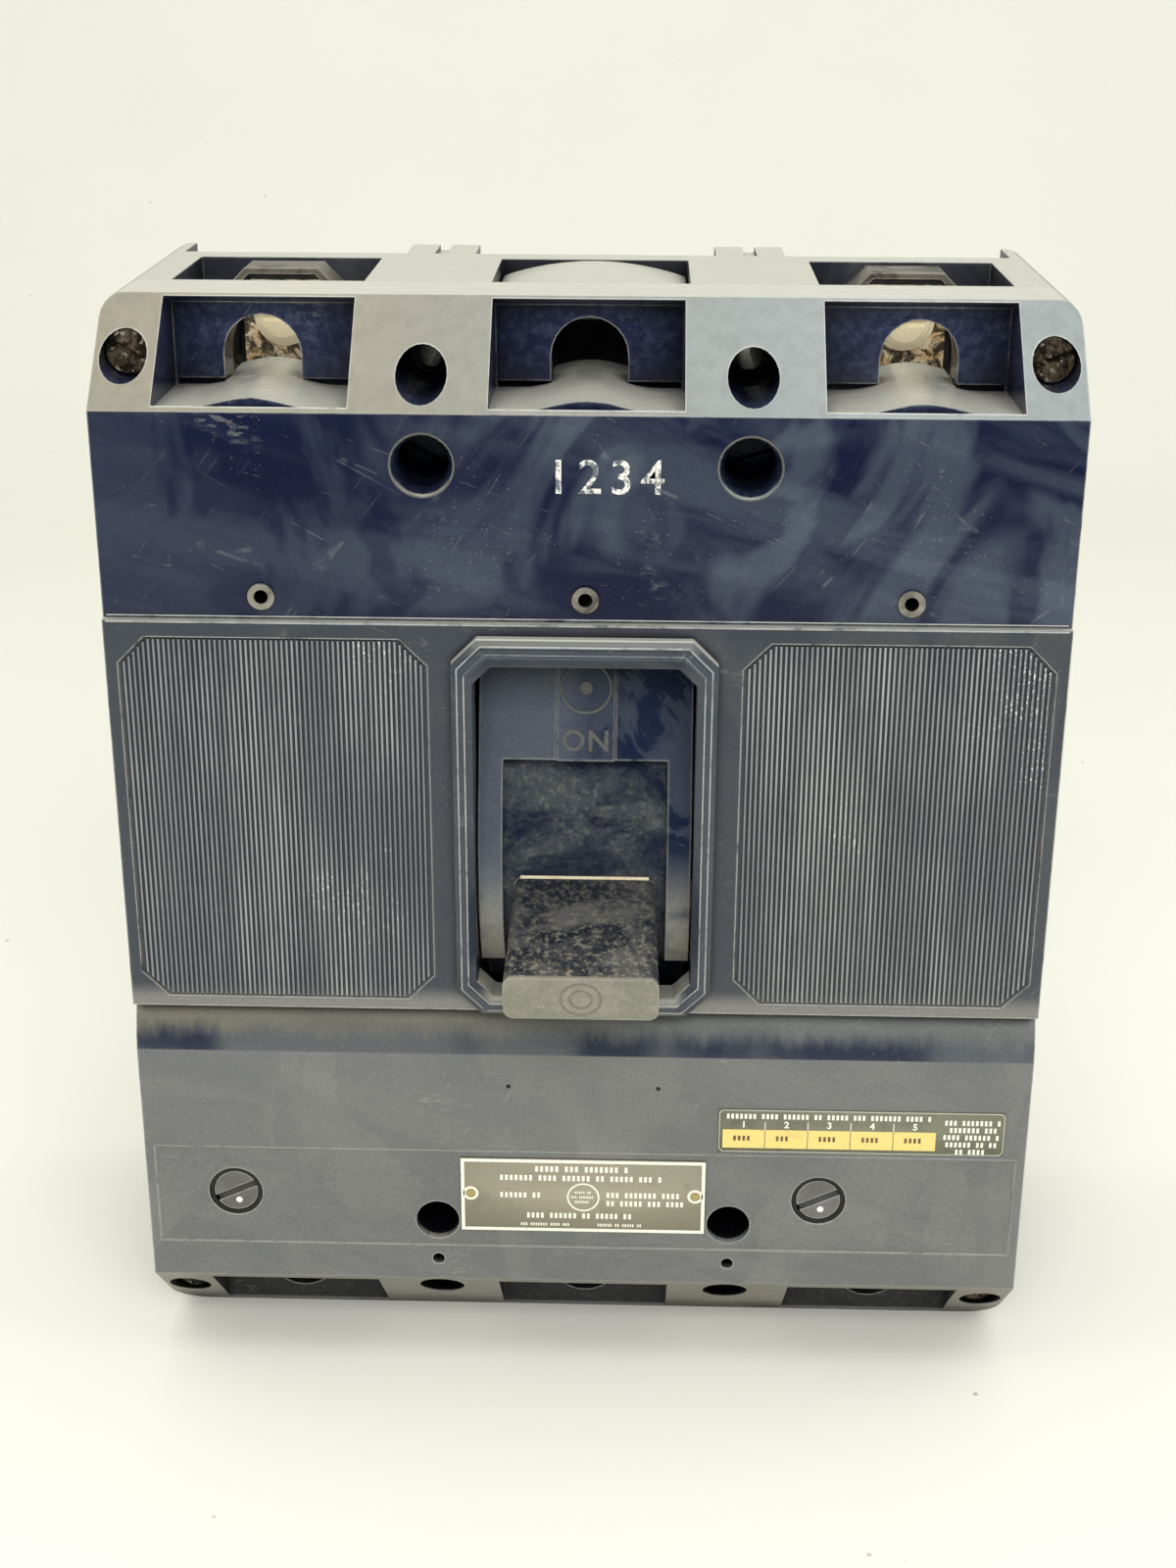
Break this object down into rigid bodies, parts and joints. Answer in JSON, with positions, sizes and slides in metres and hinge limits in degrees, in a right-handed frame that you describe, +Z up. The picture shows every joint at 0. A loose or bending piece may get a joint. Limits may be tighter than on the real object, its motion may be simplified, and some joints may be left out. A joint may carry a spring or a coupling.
{
  "type": "molded case circuit breaker",
  "caption": "Box-shaped molded circuit breaker with a toggle handle in an octagonal frame, trip setting knobs and screw terminals in recesses at both ends.",
  "frame": {"origin": "bottom centre of the overall box, at the load end", "axes": "+Z up towards the line end, -Y out of the front with the handle, +X right seen from the front"},
  "size_m": [0.2096, 0.1248, 0.2572],
  "materials": {
    "phenolic_base": "satin black phenolic, dusty",
    "phenolic_cover": "semi-gloss blue-black phenolic, scratched",
    "phenolic_lower": "satin grey-black phenolic",
    "bezel_molding": "semi-gloss black molding",
    "handle_molding": "worn black molding",
    "insulation": "red-brown vulcanised fibre",
    "filler_molding": "light grey molding",
    "plated_steel": "dull plated steel",
    "spring_steel": "dark steel",
    "copper": "aged copper",
    "brass": "brass",
    "aluminium_collar": "dull aluminium",
    "knob_plastic": "dark grey molding",
    "nameplate_metal": "bronze-painted plate",
    "label_film": "printed film"
  },
  "bodies": {
    "case": {"arc_chute_frame_left": "insulation", "arc_chute_frame_right": "insulation", "arc_chute_plates_left": "spring_steel", "arc_chute_plates_right": "spring_steel", "base": "phenolic_base", "bimetal_left": "brass", "bimetal_right": "brass", "center_pole_filler": "filler_molding", "cover_eyelet_center": "plated_steel", "cover_eyelet_left": "plated_steel", "cover_eyelet_right": "plated_steel", "flex_braid_left": "copper", "flex_braid_right": "copper", "front_cover": "phenolic_cover", "handle_bezel": "bezel_molding", "line_collar_left": "aluminium_collar", "line_collar_right": "aluminium_collar", "line_conductor_left": "copper", "line_conductor_right": "copper", "line_terminal_screw_left": "brass", "line_terminal_screw_right": "brass", "load_collar_left": "aluminium_collar", "load_collar_right": "aluminium_collar", "load_conductor_left": "copper", "load_conductor_right": "copper", "load_terminal_screw_left": "brass", "load_terminal_screw_right": "brass", "lower_cover_screw_left": "plated_steel", "lower_cover_screw_right": "plated_steel", "lower_edge_screw_left": "plated_steel", "lower_edge_screw_right": "plated_steel", "magnet_core_left": "spring_steel", "magnet_core_right": "spring_steel", "mechanism_side_plate_left": "plated_steel", "mechanism_side_plate_right": "plated_steel", "nameplate": "nameplate_metal", "setting_label": "label_film", "slot_plate": "bezel_molding", "trip_cover": "phenolic_lower", "upper_cover_screw_left": "plated_steel", "upper_cover_screw_right": "plated_steel", "upper_edge_screw_left": "plated_steel", "upper_edge_screw_right": "plated_steel"},
    "handle": {"operating_handle": "handle_molding", "handle_yoke": "plated_steel", "main_spring_left": "spring_steel", "main_spring_right": "spring_steel"},
    "cradle": {"cradle": "plated_steel"},
    "upper_link": {"upper_toggle_link": "plated_steel"},
    "lower_link": {"lower_toggle_link": "plated_steel"},
    "crossbar": {"crossbar": "handle_molding", "contact_arm_left": "copper", "contact_arm_right": "copper"},
    "trip_bar": {"trip_bar": "handle_molding"},
    "armature_left": {"armature_left": "spring_steel"},
    "armature_right": {"armature_right": "spring_steel"},
    "knob_left": {"trip_setting_knob_left": "knob_plastic"},
    "knob_right": {"trip_setting_knob_right": "knob_plastic"}
  },
  "joints": [
    {"name": "handle_swing", "type": "hinge", "parent": "case", "child": "handle", "pos_m": [0, 0.01324, 0.131], "axis": [-1, 0, 0], "range_deg": [-4, 33], "deforming": ["main_spring_left", "main_spring_right"]},
    {"name": "crossbar_swing", "type": "hinge", "parent": "case", "child": "crossbar", "pos_m": [0, 0.02724, 0.124], "axis": [-1, 0, 0], "range_deg": [-3.8, 30.2]},
    {"name": "cradle_release", "type": "hinge", "parent": "case", "child": "cradle", "pos_m": [0, 0.02324, 0.16], "axis": [-1, 0, 0], "range_deg": [0, 6]},
    {"name": "upper_link_swing", "type": "hinge", "parent": "cradle", "child": "upper_link", "pos_m": [0, -0.00876, 0.14], "axis": [-1, 0, 0], "range_deg": [-3.71, 29.18]},
    {"name": "knee_fold", "type": "hinge", "parent": "upper_link", "child": "lower_link", "pos_m": [0, 0.00286, 0.15143], "axis": [-1, 0, 0], "range_deg": [-75.86, 9.37]},
    {"name": "trip_bar_turn", "type": "hinge", "parent": "case", "child": "trip_bar", "pos_m": [0, -0.00076, 0.092], "axis": [-1, 0, 0], "range_deg": [0, 10], "stiffness_Nm_per_rad": 0.2, "springref_deg": -8.59},
    {"name": "armature_left_pull", "type": "hinge", "parent": "case", "child": "armature_left", "pos_m": [-0.072, 0.01024, 0.064], "axis": [1, 0, 0], "range_deg": [0, 6], "stiffness_Nm_per_rad": 0.3, "springref_deg": -5.73},
    {"name": "armature_right_pull", "type": "hinge", "parent": "case", "child": "armature_right", "pos_m": [0.072, 0.01024, 0.064], "axis": [1, 0, 0], "range_deg": [0, 6], "stiffness_Nm_per_rad": 0.3, "springref_deg": -5.73},
    {"name": "knob_left_turn", "type": "hinge", "parent": "case", "child": "knob_left", "pos_m": [-0.0836, -0.03676, 0.0469], "axis": [0, 1, 0], "range_deg": [-60, 60]},
    {"name": "knob_right_turn", "type": "hinge", "parent": "case", "child": "knob_right", "pos_m": [0.0564, -0.03676, 0.0471], "axis": [0, 1, 0], "range_deg": [-60, 60]}
  ],
  "couplings": [
    {"joint": "crossbar_swing", "follows": "handle_swing", "ratio": 0.90909},
    {"joint": "upper_link_swing", "follows": "handle_swing", "ratio": 0.87806},
    {"joint": "knee_fold", "follows": "handle_swing", "ratio": -2.2926}
  ]
}
